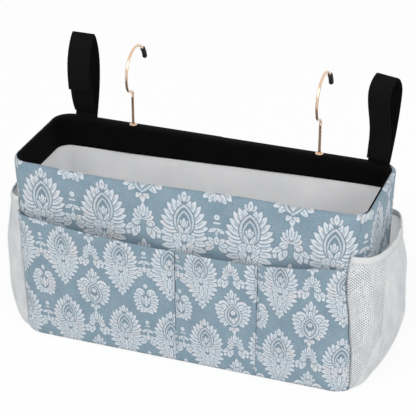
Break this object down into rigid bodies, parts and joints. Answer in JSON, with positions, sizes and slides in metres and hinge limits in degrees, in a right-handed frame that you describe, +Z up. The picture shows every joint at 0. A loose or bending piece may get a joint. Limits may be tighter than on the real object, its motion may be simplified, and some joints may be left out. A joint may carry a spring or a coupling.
{
  "type": "bedside caddy",
  "caption": "Soft rectangular hanging caddy with bulged front pockets, mesh end pockets, webbing strap loops and swivelling wire hooks.",
  "frame": {"origin": "centre of the underside of the base", "axes": "+X along the caddy to its right end, +Y to its back, +Z up"},
  "size_m": [0.4304, 0.1793, 0.297],
  "materials": {
    "printed_cloth": "woven polyester with a blue damask print",
    "black_cloth": "plain black oxford cloth",
    "grey_lining": "plain grey lining cloth",
    "board": "grey-brown fibreboard",
    "white_mesh": "open white polyester net",
    "white_binding": "folded white knit tape",
    "black_webbing": "ribbed black webbing",
    "black_tape": "hook and loop tape",
    "rose_gold": "polished rose-gold plating",
    "black_rubber": "soft black rubber",
    "steel": "plain zinc plating"
  },
  "bodies": {
    "root": {"front_panel": "printed_cloth", "left_side_panel": "printed_cloth", "right_side_panel": "printed_cloth", "back_panel": "black_cloth", "bottom_panel": "black_cloth", "front_stiffener": "board", "back_stiffener": "board", "left_side_stiffener": "board", "right_side_stiffener": "board", "lining": "grey_lining", "rim_facing": "black_cloth", "tablet_pocket": "printed_cloth", "phone_pocket": "printed_cloth", "pen_pocket": "printed_cloth", "left_mesh_pocket": "white_mesh", "left_mesh_binding": "white_binding", "left_strap_tab": "black_webbing", "left_hook_eyelet": "rose_gold", "left_hook_bracket": "steel", "left_hook_rivet_1": "steel", "left_hook_rivet_2": "steel", "right_mesh_pocket": "white_mesh", "right_mesh_binding": "white_binding", "right_strap_tab": "black_webbing", "right_hook_eyelet": "rose_gold", "right_hook_bracket": "steel", "right_hook_rivet_1": "steel", "right_hook_rivet_2": "steel"},
    "left_strap": {"left_strap_webbing": "black_webbing", "left_short_strap": "black_webbing", "left_loop_tape": "black_tape"},
    "left_flap": {"left_strap_flap": "black_webbing", "left_hook_tape": "black_tape"},
    "left_hook": {"left_hook_wire": "rose_gold", "left_hook_tip": "black_rubber"},
    "right_strap": {"right_strap_webbing": "black_webbing", "right_short_strap": "black_webbing", "right_loop_tape": "black_tape"},
    "right_flap": {"right_strap_flap": "black_webbing", "right_hook_tape": "black_tape"},
    "right_hook": {"right_hook_wire": "rose_gold", "right_hook_tip": "black_rubber"},
    "base_insert": {"base_board": "grey_lining"}
  },
  "joints": [
    {"name": "left_strap_swing", "type": "hinge", "parent": "root", "child": "left_strap", "pos_m": [-0.156, 0.0625, 0.2014], "axis": [-1, 0, 0], "range_deg": [-45, 75], "stiffness_Nm_per_rad": 0.03},
    {"name": "left_flap_open", "type": "hinge", "parent": "left_strap", "child": "left_flap", "pos_m": [-0.156, 0.0625, 0.2962], "axis": [-1, 0, 0], "range_deg": [0, 95]},
    {"name": "left_hook_swivel", "type": "hinge", "parent": "root", "child": "left_hook", "pos_m": [-0.101, 0.0602, 0.2], "axis": [0, 0, 1], "continuous": true},
    {"name": "right_strap_swing", "type": "hinge", "parent": "root", "child": "right_strap", "pos_m": [0.168, 0.05901, 0.2014], "axis": [-0.9607, 0.2775, 0], "range_deg": [-45, 75], "stiffness_Nm_per_rad": 0.03},
    {"name": "right_flap_open", "type": "hinge", "parent": "right_strap", "child": "right_flap", "pos_m": [0.17024, 0.06678, 0.29385], "axis": [-0.9607, 0.2775, 0], "range_deg": [0, 95]},
    {"name": "right_hook_swivel", "type": "hinge", "parent": "root", "child": "right_hook", "pos_m": [0.105, 0.0602, 0.2], "axis": [0, 0, 1], "continuous": true},
    {"name": "base_board_lift", "type": "slide", "parent": "root", "child": "base_insert", "axis": [0, 0, 1], "range_m": [0, 0.2]}
  ]
}
